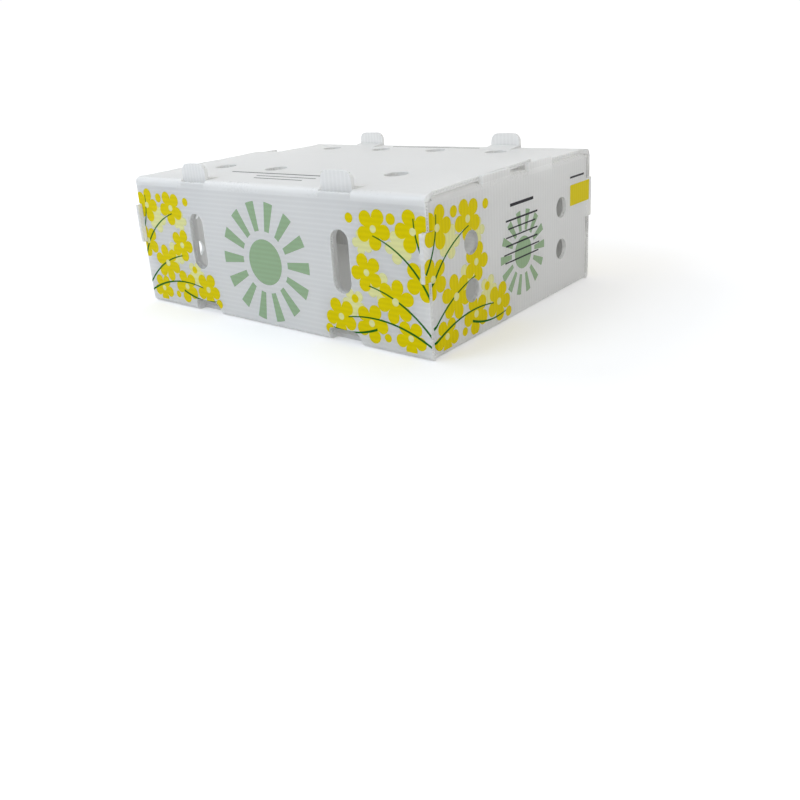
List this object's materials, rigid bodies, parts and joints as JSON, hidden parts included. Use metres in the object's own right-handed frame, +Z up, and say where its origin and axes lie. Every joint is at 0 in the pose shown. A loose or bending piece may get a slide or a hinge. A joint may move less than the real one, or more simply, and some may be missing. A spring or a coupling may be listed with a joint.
{
  "type": "stackable fluted plastic box",
  "caption": "Closed rectangular box folded from fluted plastic sheet, with a hinged top flap, hand slots, round vents, stacking tabs and matching notches.",
  "frame": {"origin": "middle of the underside, on the surface the box stands on", "axes": "+X along the long walls, +Y from the front wall to the rear wall, +Z up"},
  "size_m": [0.4, 0.31, 0.16],
  "materials": {
    "white_sheet": "satin"
  },
  "bodies": {
    "box": {"box_sheet": "white_sheet"},
    "front_flap": {"front_top_flap": "white_sheet"}
  },
  "joints": [
    {"name": "front_flap_fold", "type": "hinge", "parent": "box", "child": "front_flap", "pos_m": [0, -0.15, 0.13775], "axis": [1, 0, 0], "range_deg": [0, 170]}
  ]
}
